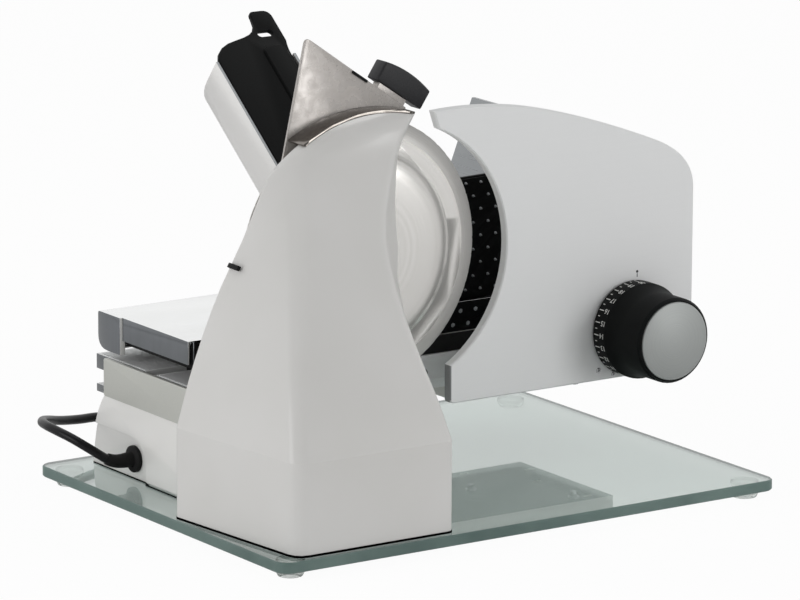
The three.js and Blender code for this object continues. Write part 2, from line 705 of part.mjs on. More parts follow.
// One bent sheet: the flat top, a far skirt that curls in under it, and a folded end with a
// corner that stands proud of it.
function carriageDeck() {
  const { x0, x1, far, top, sheet: thick, skirt, curl, corner, proud } = DECK;
  const near = FRAME.apron + FRAME.thick + GAP;
  const inner = far - thick;
  const low = skirt - curl;
  const profile = new THREE.Shape();
  profile.moveTo(near, top - thick);
  profile.lineTo(inner, top - thick);
  profile.lineTo(inner, skirt);
  profile.quadraticCurveTo(inner, low + thick, inner - curl, low + thick);
  profile.lineTo(inner - curl, low);
  profile.quadraticCurveTo(far, low, far, skirt);
  profile.lineTo(far, top - thick);
  profile.quadraticCurveTo(far, top, far - thick, top);
  profile.lineTo(near, top);
  const outline = new THREE.Shape();
  outline.moveTo(corner, low);
  outline.lineTo(inner - curl, low);
  outline.quadraticCurveTo(far, low, far, skirt);
  outline.lineTo(far, top - thick);
  outline.quadraticCurveTo(far, top, far - thick, top);
  outline.lineTo(corner, top);
  const end = box(x0, x0 + thick, near, corner + 1, skirt, top - thick / 2);
  return join(prism(profile, x0, x1, 0, 5), end, prism(outline, x0 - proud, x0 + thick, 0, 5));
}

// A block on the runner and a plate under the deck, which turns up into a spiked apron along the
// deck's near edge and down into a lip behind its folded end.
function carriageFrame() {
  const { x0, near, far, z0, apron, thick, lip } = FRAME;
  const x1 = lastSpike + FRAME.beyond;
  const end = DECK.x0 + DECK.sheet + GAP;
  const top = DECK.top - DECK.sheet - GAP;
  const core = box(x0, x1, near, far, z0, top);
  const plate = box(end, x1, apron + 1, DECK.corner - GAP, top - thick, top);
  const folded = box(end, end + thick, apron + 1, DECK.corner - GAP, lip, top);
  const front = box(end, x1, apron, apron + thick, apronLow, DECK.top);
  return join(core, plate, folded, front, ...spikes(apron, apronLow + 4, 2));
}

function runner() {
  const { x0, x1 } = RUNNER;
  const { z0, z1 } = SLOT;
  const stem = box(x0, x1, neck0 + RUN, neck1 - RUN, z0 + 3, FRAME.z0 - GAP);
  const head = box(x0, x1, wide0 + RUN, wide1 - RUN, z0 + RUN, z1 - RUN);
  return join(stem, head);
}

function backWall() {
  const { foot: x, lean, top, near, thick } = WALL;
  const z0 = DECK.top + GAP;
  const shape = polygon([x - thick, z0], [x, z0], [x + lean, top], [x + lean - thick, top]);
  return slab(shape, near, DECK.far, 0.4);
}

function troughSection(inset) {
  const { width, side } = CHUTE;
  const radius = width / 2;
  const shape = new THREE.Shape();
  shape.moveTo(inset, -inset);
  shape.lineTo(inset, -side);
  shape.absarc(radius, -side, radius - inset, Math.PI, 2 * Math.PI);
  shape.lineTo(width - inset, -inset);
  return shape;
}

// The chute and the pusher are drawn along the slope: X across, Y up the slope.
function feedChute(toWorld) {
  const trough = slab(troughSection(0), -190, 0, 0, 10);
  const bore = slab(troughSection(CHUTE.wall), -250, 10, 0, 10);
  const lidOff = box(CHUTE.wall, CHUTE.width - CHUTE.wall, -250, 10, -CHUTE.wall - 1, 10);
  const beyond = box(0, 300, -100, CHUTE_MOUTH, 0, 400).applyMatrix4(toWorld.clone().invert());
  return cut(trough, bore, lidOff, beyond);
}

function chuteStand() {
  const slope = Math.tan(deg(CHUTE.slope));
  const under = CHUTE.side + CHUTE.width / 2 + GAP;
  const y0 = CHUTE.y + under * Math.sin(deg(CHUTE.slope));
  const z0 = CHUTE.z - under * Math.cos(deg(CHUTE.slope));
  const bottom = DECK.top + GAP;
  const line = (y) => [y, z0 + (y - y0) * slope];
  const middle = CHUTE.x + CHUTE.width / 2;
  const side = polygon([140, bottom], [196, bottom], line(196), line(140));
  return prism(side, middle - 13, middle + 13);
}

function pusher() {
  const edge = CHUTE.wall + RUN;
  const wide = CHUTE.width - edge;
  const { low, headLength, plate, tabEnd, ribHeight } = PUSHER;
  const shape = new THREE.Shape();
  shape.moveTo(edge, low);
  shape.lineTo(wide, low);
  shape.lineTo(wide, 0);
  shape.quadraticCurveTo(wide, 6, wide + 2, 12);
  shape.lineTo(wide + 2, tabEnd - 5);
  shape.quadraticCurveTo(wide + 1, tabEnd, wide - 4, tabEnd);
  shape.lineTo(47, tabEnd);
  shape.quadraticCurveTo(43.5, tabEnd, 43.5, tabEnd - 5);
  shape.bezierCurveTo(43, 21, 34, 19, 25, 17);
  shape.quadraticCurveTo(edge, 13, edge, -4);
  const slot = new THREE.Path();
  slot.absarc(50, 19.4, 2.4, -Math.PI / 2, Math.PI / 2);
  slot.absarc(44, 19.4, 2.4, Math.PI / 2, 1.5 * Math.PI);
  shape.holes.push(slot);
  const top = -RUN;
  const blade = sheet(shape, top - plate, top, 0.6, 5);
  const rib = sheet(roundedRect(38, 55, low + 2, 8, 5), top - 1, top + ribHeight, 0.8, 3);
  const head = slab(troughSection(edge), low, low + headLength, 0, 8);
  return join(blade, rib, head);
}

// The outline of the remnant holder, drawn in by inset.
function holderOutline(inset) {
  const { left, top } = HOLDER;
  const bottom = DECK.top + GAP;
  const lean = WALL.lean / (WALL.top - bottom);
  const edge = WALL.foot - WALL.thick - HOLDER.wallGap - inset;
  const [low, high] = [bottom + inset, top - inset];
  const right = (z) => [edge + (z - bottom) * lean, z];
  return polygon([left + inset, low], right(low), right(high), [left + inset, high - 2]);
}

function remnantHolder() {
  const { near, face, thick, handle } = HOLDER;
  const bottom = DECK.top + GAP;
  const back = near + face + GAP;
  const plate = slab(holderOutline(0), back, back + thick, 0.6);
  const wing = roundedRect(handle.x0, handle.x1, bottom, bottom + handle.height, 6);
  return join(plate, slab(wing, back + thick - 1, back + handle.reach, 1.5, 4));
}

// Rows of short spikes that stand out of a face at Y towards the blade, from height low up.
function spikes(y, low, rows) {
  const { left, edge, spike, columns, pitch, rise } = HOLDER;
  const all = [];
  for (let row = 0; row < rows; row++) {
    for (let column = 0; column < columns; column++) {
      const x = left + edge + pitch * (column + (row % 2) / 2);
      const point = [[0, y - spike], [1.4, y + 0.7], [0, y + 0.7]];
      all.push(turnedY(point, x, low + rise * row, 6));
    }
  }
  return all;
}

function spikePlate() {
  const { near, face, rows } = HOLDER;
  return join(slab(holderOutline(1), near, near + face), ...spikes(near, DECK.top + 7, rows));
}

// Cord and plug

function cordFree() {
  const count = 60;
  const way = [];
  for (let i = 0; i <= count; i++) {
    way.push(lead.getPoint(THREE.MathUtils.lerp(sleeveEnd, 1, i / count)));
  }
  way[0].addScaledVector(lead.getTangent(sleeveEnd), GAP);
  return tube(way, CORD.diameter, 10, 60);
}

// Spirals in on the floor, climbs one layer, and spirals out on top to the plug.
function coilWay() {
  const way = [new THREE.Vector3(coilStart, COIL.y - COIL.radius, line)];
  way.push(new THREE.Vector3(coilStart + 8, COIL.y - COIL.radius, line));
  const steps = 24;
  const spun = COIL.turns * steps;
  const climb = steps / 2;
  for (let i = 0; i <= 2 * spun + climb; i++) {
    const inward = Math.min(i, 2 * spun + climb - i);
    const depth = Math.min(inward, spun + climb / 2);
    const radius = COIL.radius - (COIL.pitch * depth) / steps;
    const rise = THREE.MathUtils.smoothstep(i, spun, spun + climb);
    const angle = -Math.PI / 2 + (2 * Math.PI * i) / steps;
    const [x, y] = [COIL.x + radius * Math.cos(angle), COIL.y + radius * Math.sin(angle)];
    way.push(new THREE.Vector3(x, y, line + COIL.layer * rise));
  }
  const out = way.at(-1);
  const axis = CORD.floor + PLUG.radius + GAP;
  way.push(new THREE.Vector3(out.x - 30, out.y, THREE.MathUtils.lerp(out.z, axis, 0.35)));
  way.push(new THREE.Vector3(out.x - 62, out.y, axis));
  way.push(new THREE.Vector3(out.x - 70, out.y, axis));
  return way;
}

// The least gap between two stretches of the coil that are a quarter turn or more apart.
function leastGap(way) {
  const points = new THREE.CatmullRomCurve3(way, false, 'centripetal').getSpacedPoints(900);
  const apart = (Math.PI / 2) * (COIL.radius - COIL.pitch * COIL.turns);
  const skip = Math.ceil(apart / points[0].distanceTo(points[1]));
  let least = Infinity;
  for (let i = 0; i < points.length; i++) {
    for (let j = i + skip; j < points.length; j++) {
      least = Math.min(least, points[i].distanceTo(points[j]));
    }
  }
  return least - CORD.diameter;
}

function mainsPlug(end) {
  const { radius, length, pin, pinLength, pinPitch } = PLUG;
  const face = end.x - GAP - length - 12;
  const profile = [
    [0, end.x - GAP],
    [5, end.x - GAP],
    [7, end.x - GAP - 14],
    [radius - 2, end.x - GAP - 24],
    [radius, end.x - GAP - 30],
    [radius, face],
    [0, face],
  ];
  const body = turnedX(profile, end.y, end.z, 32);
  const tip = face - pinLength;
  const outline = [[0, face + 2], [pin, face + 2], [pin, tip + 2], [pin / 2, tip], [0, tip]];
  const prong = (y) => turnedX(outline, y, end.z, 12);
  return join(body, prong(end.y - pinPitch / 2), prong(end.y + pinPitch / 2));
}

// Assembly

function paint(color, roughness, metalness) {
  return new THREE.MeshStandardMaterial({ color, roughness, metalness });
}

function add(group, name, geometry, color, roughness, metalness) {
  const mesh = new THREE.Mesh(geometry, paint(color, roughness, metalness));
  mesh.name = name;
  group.add(mesh);
}

const slicer = new THREE.Group();
const white = ['#eceae6', 0.35, 0];
const black = ['#1c1d1f', 0.5, 0];
const steel = ['#c9c9c7', 0.18, 1];
const aluminium = ['#c4c4c2', 0.4, 1];

const base = new THREE.Group();
const glassOutline = roundedRect(GLASS.x0, GLASS.x1, GLASS.y0, GLASS.y1, GLASS.corner);
const glass = sheet(glassOutline, -GLASS.thick, 0, GLASS.bevel, 4);
add(base, 'glass_base', glass, '#cfe0dc', 0.05, 0);
for (const [end, x] of [['left', GLASS.x0 + FOOT.inset], ['right', GLASS.x1 - FOOT.inset]]) {
  for (const [side, y] of [['near', GLASS.y0 + FOOT.inset], ['far', GLASS.y1 - FOOT.inset]]) {
    add(base, `foot_${side}_${end}`, foot(x, y), '#b9bbb8', 0.6, 0);
  }
}
add(base, 'base_housing', baseHousing(), ...white);
add(base, 'cord_gland', cordGland(), ...black);
add(base, 'rail', rail(), ...aluminium);
add(base, 'rail_wiper', railWiper(), '#151515', 0.8, 0);
add(base, 'rail_plate_left', railPlate(RAIL.x0 - GAP - RAIL_PLATE), '#d2d1ce', 0.45, 0.6);
add(base, 'rail_plate_right', railPlate(RAIL.x1 + GAP), '#d2d1ce', 0.45, 0.6);
add(base, 'guide_tray', guideTray(), '#4a4c4d', 0.5, 0.4);
ROD.x.forEach((x, i) => {
  const bush = sleeveY(ROD.radius + GAP, BUSH_RADIUS, x, ROD.z, RAIL.near, RAIL.web + 6);
  add(base, `guide_bush_${i + 1}`, bush, '#8f7a4c', 0.4, 1);
});
add(base, 'spindle_nut', spindleNut(), ...black);
const pinSeat = RAIL.near - GAP;
const pinRadius = STOP_PIN.radius;
const pinFace = pinSeat - STOP_PIN.length;
const pinNose = [[0, pinFace], [pinRadius - 1, pinFace], [pinRadius, pinFace + 1]];
const pinProfile = [...pinNose, [pinRadius, pinSeat], [0, pinSeat]];
add(base, 'stop_pin', turnedY(pinProfile, pinX, ROD.z, 24), ...black);
slicer.add(base);

const tower = new THREE.Group();
add(tower, 'motor_tower', motorTower(), ...white);
add(tower, 'tower_back_plate', towerBackPlate(), ...white);
tower.add(sideBumper());
add(tower, 'motor_can', motorCan(), '#8d9092', 0.4, 0.9);
add(tower, 'motor_end_cap', motorEndCap(), '#2b2c2e', 0.5, 0.2);
add(tower, 'drive_belt', driveBelt(), '#151515', 0.8, 0);
add(tower, 'blade_guard', bladeGuard(), ...steel);
add(tower, 'blade_cover', bladeCover(), ...steel);
add(tower, 'cover_grip', coverGrip(), ...black);
slicer.add(tower);

const { bore, body, flange, button } = SWITCH;
const bezel = new THREE.Group();
bezel.position.set(edgeAt(BACK_RIGHT, 0).x, SWITCH.y, SWITCH.z);
const ringFoot = [[bore, -7], [body, -7], [body, GAP], [flange, GAP]];
const ringProfile = [...ringFoot, [flange, 2], [bore, 2.8], [bore, -7]];
const buttonProfile = [[0, -6], [button, -6], [button, 5], [button - 1, 5.8], [0, 5.8]];
add(bezel, 'switch_bezel', turnedX(ringProfile, 0, 0, 32), ...black);
add(bezel, 'power_button', turnedX(buttonProfile, 0, 0, 32), '#3a3c3e', 0.45, 0);
slicer.add(bezel);

const spinning = new THREE.Group();
const shaftStart = SHAFT_BOSS.y1 - 6 + GAP;
const hubFace = BLADE.cutY - BLADE.thick - BLADE_DOME;
add(spinning, 'drive_pulley', pulley(MOTOR.x, MOTOR.z, 0, MOTOR.y1 + GAP), '#6f7274', 0.4, 1);
add(spinning, 'blade_pulley', pulley(BLADE.x, BLADE.z, SHAFT_RADIUS + GAP), '#6f7274', 0.4, 1);
const shaft = onBladeAxis(SHAFT_RADIUS, shaftStart, hubFace - GAP);
add(spinning, 'blade_shaft', shaft, '#9a9c9d', 0.3, 1);
add(spinning, 'blade', blade(), '#d6d6d4', 0.12, 1);
const hub = onBladeAxis(16, BLADE.cutY - 1.5, BLADE.cutY - 0.4, 40);
add(spinning, 'blade_hub', hub, '#b4b5b4', 0.3, 1);
slicer.add(spinning);

const stop = new THREE.Group();
add(stop, 'stop_plate', stopPlate(), '#c6c6c5', 0.42, 0.9);
ROD.x.forEach((x, i) => {
  const rod = rodY(ROD.radius, x, ROD.z, plateFar + GAP, ROD.end);
  add(stop, `guide_rod_${i + 1}`, rod, '#a7a9aa', 0.3, 1);
});
add(stop, 'thickness_knob', thicknessKnob(), ...black);
add(stop, 'knob_cap', knobCap(), '#bdbdbb', 0.4, 0.9);
const spindle = rodY(SPINDLE.radius, KNOB.x, KNOB.z, plateNear - RUN - 19, SPINDLE.end);
add(stop, 'spindle', spindle, '#9a9c9d', 0.35, 1);
slicer.add(stop);

const carriage = new THREE.Group();
add(carriage, 'carriage_deck', carriageDeck(), ...steel);
add(carriage, 'carriage_frame', carriageFrame(), ...black);
add(carriage, 'runner', runner(), '#2a2b2c', 0.5, 0);
add(carriage, 'back_wall', backWall(), ...steel);
add(carriage, 'remnant_holder', remnantHolder(), ...black);
add(carriage, 'spike_plate', spikePlate(), ...black);
add(carriage, 'chute_stand', chuteStand(), ...black);
const feed = new THREE.Group();
feed.position.set(CHUTE.x, CHUTE.y, CHUTE.z);
feed.rotation.x = deg(CHUTE.slope);
feed.updateMatrix();
add(feed, 'feed_chute', feedChute(feed.matrix), ...steel);
add(feed, 'pusher', pusher(), ...black);
carriage.add(feed);
slicer.add(carriage);

const cord = new THREE.Group();
const coil = coilWay();
add(cord, 'cord_free', cordFree(), '#161616', 0.5, 0);
console.log(`cord_coil: least gap to itself ${leastGap(coil).toFixed(2)} mm`);
add(cord, 'cord_coil', tube(coil, CORD.diameter, 6, coil.length + 6), '#161616', 0.5, 0);
add(cord, 'mains_plug', mainsPlug(coil.at(-1)), '#161616', 0.5, 0);

const bounds = new THREE.Box3().setFromObject(slicer, true);
const part = new THREE.Group();
part.add(slicer, cord);
part.position.set(
  -(bounds.min.x + bounds.max.x) / 2,
  -(bounds.min.y + bounds.max.y) / 2,
  -bounds.min.z,
);

export default part;
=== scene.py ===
import json
import math

import bpy
from mathutils import Euler, Matrix, Vector

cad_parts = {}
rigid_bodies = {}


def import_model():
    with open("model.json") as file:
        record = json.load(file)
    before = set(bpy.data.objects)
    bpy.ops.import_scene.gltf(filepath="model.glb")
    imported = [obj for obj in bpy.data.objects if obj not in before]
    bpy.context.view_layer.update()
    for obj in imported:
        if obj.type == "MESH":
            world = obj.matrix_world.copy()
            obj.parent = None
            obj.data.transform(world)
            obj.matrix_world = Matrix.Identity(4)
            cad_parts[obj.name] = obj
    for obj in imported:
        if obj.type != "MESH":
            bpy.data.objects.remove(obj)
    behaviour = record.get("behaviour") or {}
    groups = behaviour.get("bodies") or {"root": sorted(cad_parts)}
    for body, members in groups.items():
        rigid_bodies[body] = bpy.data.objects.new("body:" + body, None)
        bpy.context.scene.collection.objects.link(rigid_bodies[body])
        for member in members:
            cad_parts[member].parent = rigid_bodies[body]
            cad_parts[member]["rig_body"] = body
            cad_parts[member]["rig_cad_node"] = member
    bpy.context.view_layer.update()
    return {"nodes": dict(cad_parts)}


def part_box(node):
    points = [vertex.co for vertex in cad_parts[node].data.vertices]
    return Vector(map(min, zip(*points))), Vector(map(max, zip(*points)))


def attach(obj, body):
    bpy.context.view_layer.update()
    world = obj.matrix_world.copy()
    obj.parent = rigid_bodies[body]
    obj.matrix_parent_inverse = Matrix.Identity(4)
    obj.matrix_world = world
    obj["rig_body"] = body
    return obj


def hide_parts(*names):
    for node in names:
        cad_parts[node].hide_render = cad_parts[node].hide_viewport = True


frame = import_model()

nodes = frame["nodes"]
mm = 0.001

# the drawing counts from a corner near the tower's foot, the part from the middle of its underside
glassCorner = Vector((-15, -7, -7))  # low corner of the glass, in the drawing
drawingStart = Vector(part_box("glass_base")[0]) - glassCorner * mm


def at(x, y, z):
    return drawingStart + Vector((x, y, z)) * mm


def linear(hexColour):
    parts = [int(hexColour[i:i + 2], 16) / 255 for i in (1, 3, 5)]
    return tuple(c / 12.92 if c <= 0.04045 else ((c + 0.055) / 1.055) ** 2.4 for c in parts) + (1,)


def activate(*pieces):
    bpy.ops.object.select_all(action="DESELECT")
    for piece in pieces:
        piece.select_set(True)
    bpy.context.view_layer.objects.active = pieces[0]


def editMode(on):
    bpy.ops.object.mode_set(mode="EDIT" if on else "OBJECT")


# selects the faces that pass a test of their middle and normal, and leaves the piece in edit mode
def pickFaces(piece, test):
    activate(piece)
    editMode(True)
    bpy.ops.mesh.select_mode(type="FACE")
    bpy.ops.mesh.select_all(action="DESELECT")
    editMode(False)
    for face in piece.data.polygons:
        face.select = test(face.center, face.normal)
    editMode(True)


def modify(piece, kind, **settings):
    activate(piece)
    modifier = piece.modifiers.new(kind.lower(), kind)
    for name, value in settings.items():
        setattr(modifier, name, value)
    bpy.ops.object.modifier_apply(modifier=modifier.name)


# a block of the given sides in mm, to be shaped further
def addBlock(place, sides, turn=(0, 0, 0)):
    bpy.ops.object.select_all(action="DESELECT")
    bpy.ops.mesh.primitive_cube_add(size=1, location=place, rotation=turn)
    block = bpy.context.object
    block.scale = [side * mm for side in sides]
    bpy.ops.object.transform_apply(location=True, rotation=True, scale=True)
    return block


# puts a finished piece's place into its mesh and hands it to a body
def settle(piece, name, body, look, angle=35):
    activate(piece)
    piece.name = name
    bpy.ops.object.transform_apply(location=True, rotation=True, scale=True)
    bpy.ops.object.shade_smooth_by_angle(angle=math.radians(angle))
    piece.data.materials.clear()
    piece.data.materials.append(look)
    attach(piece, body)


def joinAll(pieces):
    activate(*pieces)
    bpy.ops.object.join()
    return bpy.context.object


# camera, as the photograph was taken: a long lens from the knob side
cameraSet = {
    "place": (-2.06834, -3.05088, 0.96726), "turn": (77.0999, -0.2437, -33.9442), "lens": 270, "sensor": 36,
    "sees": 30,
}
bpy.ops.object.select_all(action="DESELECT")
bpy.ops.object.camera_add(
    location=cameraSet["place"], rotation=[math.radians(a) for a in cameraSet["turn"]]
)
camera = bpy.context.object
camera.data.lens = cameraSet["lens"]
camera.data.sensor_width = cameraSet["sensor"]
camera.data.clip_end = cameraSet["sees"]
bpy.context.scene.camera = camera
bpy.context.scene.view_settings.view_transform = "Standard"
print("camera done")


# materials

def addNode(material, kind, settings={}, links={}):
    node = material.node_tree.nodes.new(kind)
    for name, value in settings.items():
        if isinstance(name, str) and hasattr(node, name):
            setattr(node, name, value)
        else:
            node.inputs[name].default_value = value
    for socket, source in links.items():
        material.node_tree.links.new(source, node.inputs[socket])
    return node


def startMaterial(name, settings):
    material = bpy.data.materials.new(name)
    material.use_nodes = True
    shader = material.node_tree.nodes["Principled BSDF"]
    for socket, value in settings.items():
        shader.inputs[socket].default_value = value
    place = addNode(material, "ShaderNodeTexCoord").outputs["Object"]
    return material, shader, place


# colour that wanders between two shades, and a roughness that wanders with it
def wander(material, shader, drive, shades, dullness=None):
    span = {"From Min": 0.3, "From Max": 0.7}  # where most of a noise lies
    join = material.node_tree.links.new
    level = addNode(material, "ShaderNodeMapRange", span, {"Value": drive})
    tone = addNode(
        material,
        "ShaderNodeMix",
        {"data_type": "RGBA", 6: linear(shades[0]), 7: linear(shades[1])},
        {0: level.outputs["Result"]},
    )
    join(tone.outputs[2], shader.inputs["Base Color"])
    if dullness:
        rough = addNode(
            material,
            "ShaderNodeMapRange",
            {**span, "To Min": dullness[0], "To Max": dullness[1]},
            {"Value": drive},
        )
        join(rough.outputs["Result"], shader.inputs["Roughness"])


def relief(material, shader, height, strength, depthMm):
    bump = addNode(
        material, "ShaderNodeBump", {"Strength": strength, "Distance": depthMm * mm}, {"Height": height}
    )
    material.node_tree.links.new(bump.outputs["Normal"], shader.inputs["Normal"])


# white powder coat on cast metal: a soft gloss over a faint orange peel, about 1.5 mm from crest to crest
def powderCoat(name, shades):
    look = {"cloudMm": 90, "peelMm": 1.5, "dullness": (0.32, 0.38), "strength": 0.05, "depthMm": 0.2}
    m, shader, place = startMaterial(name, {"IOR": 1.5, "Coat Weight": 0.2, "Coat Roughness": 0.12})
    cloud = addNode(
        m, "ShaderNodeTexNoise", {"Scale": 1 / (look["cloudMm"] * mm), "Detail": 2}, {"Vector": place}
    )
    wander(m, shader, cloud.outputs["Fac"], shades, look["dullness"])
    peel = addNode(
        m, "ShaderNodeTexNoise", {"Scale": 1 / (look["peelMm"] * mm), "Detail": 1}, {"Vector": place}
    )
    relief(m, shader, peel.outputs["Fac"], look["strength"], look["depthMm"])
    return m


# plastic or rubber from a spark-eroded mould: grain about 0.4 mm, drawn at 0.9 mm so that it shows; printed
# ink takes a finer and flatter one, and the drawn sheath of a cord a coarse and faint one
def mouldedPlastic(name, shades, dullness, grainMm=0.9, depth=0.14, shine=0.2):
    look = {"ior": 1.53, "depthMm": 0.2}
    m, shader, place = startMaterial(name, {"IOR": look["ior"], "Specular IOR Level": shine})
    grain = addNode(m, "ShaderNodeTexNoise", {"Scale": 1 / (grainMm * mm), "Detail": 3}, {"Vector": place})
    wander(m, shader, grain.outputs["Fac"], shades, dullness)
    relief(m, shader, grain.outputs["Fac"], depth, look["depthMm"])
    return m


# rolled or drawn metal with lines along one axis: lines about 0.2 mm wide, drawn at 0.6 mm so that they
# show, over the slow clouding that handling leaves
def linishedSheet(name, shades, along, dullness, depth=0.04, cloudMm=30, metallic=1):
    look = {"lineMm": 0.6, "runMm": 70, "depthMm": 0.1, "cloudShare": 0.5}
    m, shader, place = startMaterial(name, {"Metallic": metallic})
    stretch = [1 / (look["lineMm"] * mm)] * 3
    stretch["XYZ".index(along)] = 1 / (look["runMm"] * mm)
    grid = addNode(m, "ShaderNodeMapping", {"Scale": stretch}, {"Vector": place})
    lines = addNode(m, "ShaderNodeTexNoise", {"Scale": 1, "Detail": 2}, {"Vector": grid.outputs["Vector"]})
    cloud = addNode(m, "ShaderNodeTexNoise", {"Scale": 1 / (cloudMm * mm), "Detail": 4}, {"Vector": place})
    both = addNode(
        m, "ShaderNodeMix", {0: look["cloudShare"]}, {2: lines.outputs["Fac"], 3: cloud.outputs["Fac"]}
    )
    wander(m, shader, both.outputs[0], shades, dullness)
    relief(m, shader, lines.outputs["Fac"], depth, look["depthMm"])
    return m


# metal turned or ground on a spindle: rings about an axis along Y, some 0.3 mm apart, drawn at 0.7 to 2.4 mm
# so that they show
def turnedSteel(name, shades, dullness, centre, ringMm=0.8, depth=0.05, metallic=1):
    look = {"depthMm": 0.1}
    m, shader, place = startMaterial(name, {"Metallic": metallic})
    middle = addNode(
        m,
        "ShaderNodeMapping",
        {"Location": (-centre[0], 0, -centre[2]), "Scale": (1, 0, 1)},
        {"Vector": place},
    )
    reach = addNode(m, "ShaderNodeVectorMath", {"operation": "LENGTH"}, {0: middle.outputs["Vector"]})
    steps = addNode(
        m, "ShaderNodeMath", {"operation": "MULTIPLY", 1: 1 / (ringMm * mm)}, {0: reach.outputs["Value"]}
    )
    rings = addNode(
        m,
        "ShaderNodeTexNoise",
        {"noise_dimensions": "1D", "Scale": 1, "Detail": 3},
        {"W": steps.outputs["Value"]},
    )
    wander(m, shader, rings.outputs["Fac"], shades, dullness)
    relief(m, shader, rings.outputs["Fac"], depth, look["depthMm"])
    return m


# mirror-polished stainless: almost clear reflections that waver with the sheet over some 20 mm
def polishedSheet(name, shades, dullness, metallic):
    look = {"waveMm": 22, "smearMm": 7, "strength": 0.25, "depthMm": 1.2}
    m, shader, place = startMaterial(name, {"Metallic": metallic})
    smear = addNode(
        m, "ShaderNodeTexNoise", {"Scale": 1 / (look["smearMm"] * mm), "Detail": 5}, {"Vector": place}
    )
    wander(m, shader, smear.outputs["Fac"], shades, dullness)
    wave = addNode(
        m, "ShaderNodeTexNoise", {"Scale": 1 / (look["waveMm"] * mm), "Detail": 1}, {"Vector": place}
    )
    relief(m, shader, wave.outputs["Fac"], look["strength"], look["depthMm"])
    return m


# toughened float glass: clear with a grey-green cast from its iron; light passes it to what lies below
def floatGlass():
    look = {"ior": 1.52, "dullness": 0.02, "cast": "#cbd6d2", "shadow": "#cfdad6"}
    m, shader, _ = startMaterial(
        "float_glass_toughened",
        {
            "Transmission Weight": 1, "IOR": look["ior"], "Roughness": look["dullness"],
            "Base Color": linear(look["cast"]),
        },
    )
    clear = addNode(m, "ShaderNodeBsdfTransparent", {"Color": linear(look["shadow"])})
    path = addNode(m, "ShaderNodeLightPath")
    mix = addNode(
        m,
        "ShaderNodeMixShader",
        {},
        {0: path.outputs["Is Shadow Ray"], 1: shader.outputs["BSDF"], 2: clear.outputs["BSDF"]},
    )
    m.node_tree.links.new(mix.outputs["Shader"], m.node_tree.nodes["Material Output"].inputs["Surface"])
    return m


# half-clear finishes, with slow clouds between two shades
def cloudyClear(name, shades, cloudMm, detail, settings):
    m, shader, place = startMaterial(name, settings)
    cloud = addNode(
        m, "ShaderNodeTexNoise", {"Scale": 1 / (cloudMm * mm), "Detail": detail}, {"Vector": place}
    )
    wander(m, shader, cloud.outputs["Fac"], shades)
    return m


bladeMiddle = at(127.5, 0, 149)
knobMiddle = at(319, 0, 82.5)

# paint: an even white, a shade greyer on the tower than on the housing; the housing's brighter white is partly
# painted light, for light it lacks under these lamps
powder = powderCoat("powder_coat_white", ("#dedddb", "#d8d7d4"))
brightPowderAndPaintedLight = powderCoat("powder_coat_bright_white_and_painted_light", ("#f3f2f0", "#eeedea"))

# black and grey mouldings: deep and dull, with a low sheen; the knob's coating is softer, the black strips of
# painted contact shadow have no sheen
blackAbs = mouldedPlastic("abs_black_moulded", ("#0a0b0b", "#131414"), (0.36, 0.46), shine=0.06)
softTouch = mouldedPlastic("elastomer_black_soft_touch", ("#0c0e0e", "#141616"), (0.5, 0.6), 0.7, 0.08, 0.1)
gripAbs = mouldedPlastic("abs_charcoal_moulded", ("#29292b", "#343436"), (0.36, 0.46))
mattAbs = mouldedPlastic("abs_black_matt", ("#060606", "#0a0a0a"), (0.8, 0.9), shine=0)
greyAbs = mouldedPlastic("abs_dark_grey_moulded", ("#35373a", "#404245"), (0.4, 0.5))
blackRubber = mouldedPlastic("rubber_black_moulded", ("#121212", "#1b1b1b"), (0.6, 0.72), 1.2)
cordVinyl = mouldedPlastic("vinyl_black_extruded", ("#101011", "#17181a"), (0.28, 0.36), 2.5, 0.03)

# printed ink: flat and dull; the white one also paints the highlight on the deck's fold
greyInk = mouldedPlastic("ink_grey_printed", ("#3a3c3e", "#464849"), (0.5, 0.6), 0.6, 0.02)
whiteInkAndHighlight = mouldedPlastic("ink_white_printed_and_painted_highlight", ("#d9d9d6", "#e8e8e5"), (0.5, 0.6), 0.6, 0.02)

# stainless sheet: the cover a soft warm mirror, its band a darker one, the deck bright with fine lines, folded
# ends given a dark colour as a painted reflection of the room, the chute and the wall even and satin
polished = polishedSheet("stainless_steel_mirror_polished", ("#b9b4b0", "#aba6a1"), (0.2, 0.34), 0.3)
polishedDark = polishedSheet("stainless_steel_polished_band", ("#8d8883", "#7a7570"), (0.12, 0.22), 1)
sheetX = linishedSheet("stainless_sheet_linished_long", ("#e6e7e6", "#eeefef"), "X", (0.16, 0.28))
darkEndsAndReflection = linishedSheet("stainless_sheet_dark_ends_and_painted_reflection", ("#75787a", "#83868a"), "Z", (0.1, 0.16))
sheetY = linishedSheet(
    "stainless_sheet_linished_cross", ("#e8e7e5", "#eae9e7"), "Y", (0.279, 0.281), 0.002, metallic=0.6
)
wallSheet = linishedSheet(
    "stainless_sheet_brushed_upright", ("#8d9092", "#979a9c"), "Y", (0.26, 0.32), 0.01, metallic=0.7
)

# aluminium: the plate pale and silky, its cut edge greyer as painted shade, the rail a warm grey
# the plate's pale finish also paints light on the rail's shaded top, near side and ribs
anodisedAndPaintedLight = linishedSheet(
    "aluminium_satin_anodised_and_painted_light", ("#e6e7e7", "#e8e9e9"), "X", (0.52, 0.55), 0.004, 60, 0.15
)
plateEdgeShade = linishedSheet("aluminium_edge_painted_shade", ("#8f9192", "#959798"), "Z", (0.5, 0.56), 0.002, 60, 0.3)
extruded = linishedSheet("aluminium_extruded", ("#bfc0ba", "#c8c9c3"), "X", (0.4, 0.5), 0.04, 45, 0.3)
capMetal = turnedSteel(
    "aluminium_satin_turned", ("#a3a6a5", "#acafad"), (0.5, 0.58), knobMiddle, 0.7, 0.02, 0.6
)

